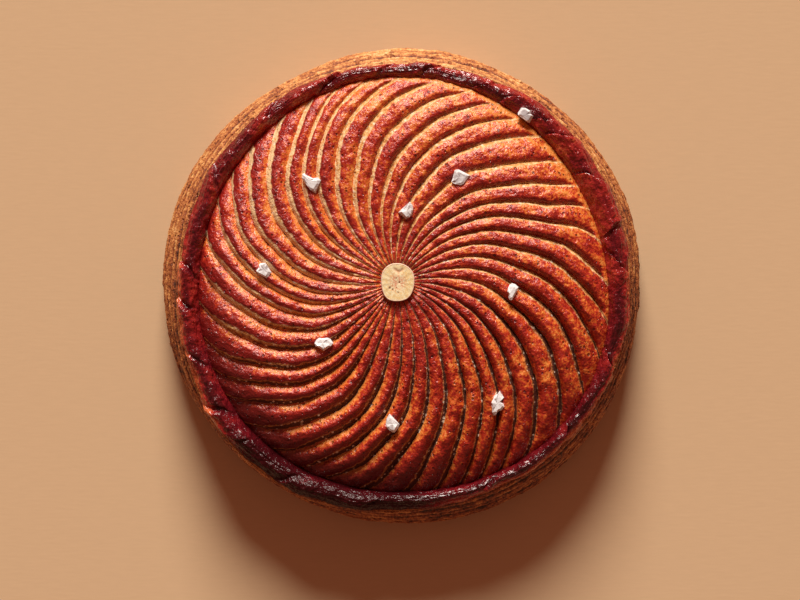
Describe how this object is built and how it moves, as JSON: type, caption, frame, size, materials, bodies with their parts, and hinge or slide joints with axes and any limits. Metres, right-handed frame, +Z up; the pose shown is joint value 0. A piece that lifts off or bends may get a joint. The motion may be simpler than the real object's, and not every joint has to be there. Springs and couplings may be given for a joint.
{
  "type": "galette des rois",
  "caption": "Round puff-pastry cake with a spiral-scored domed top, sealed raised rim, flaky side, nut slice at the middle and scattered coarse salt crystals.",
  "frame": {"origin": "middle of the flat base", "axes": "+Z up out of the scored top, the slice of nut nearest -X and +Y of the middle"},
  "size_m": [0.2002, 0.1993, 0.0443],
  "materials": {
    "crust": "egg-washed and baked red-brown, with pale unglazed cuts",
    "flaky_side": "dry golden leaves of puff pastry",
    "nut": "cut face of a roasted hazelnut",
    "salt": "cloudy broken crystals"
  },
  "bodies": {
    "root": {"galette": "crust", "hazelnut_slice": "nut"}
  },
  "joints": []
}
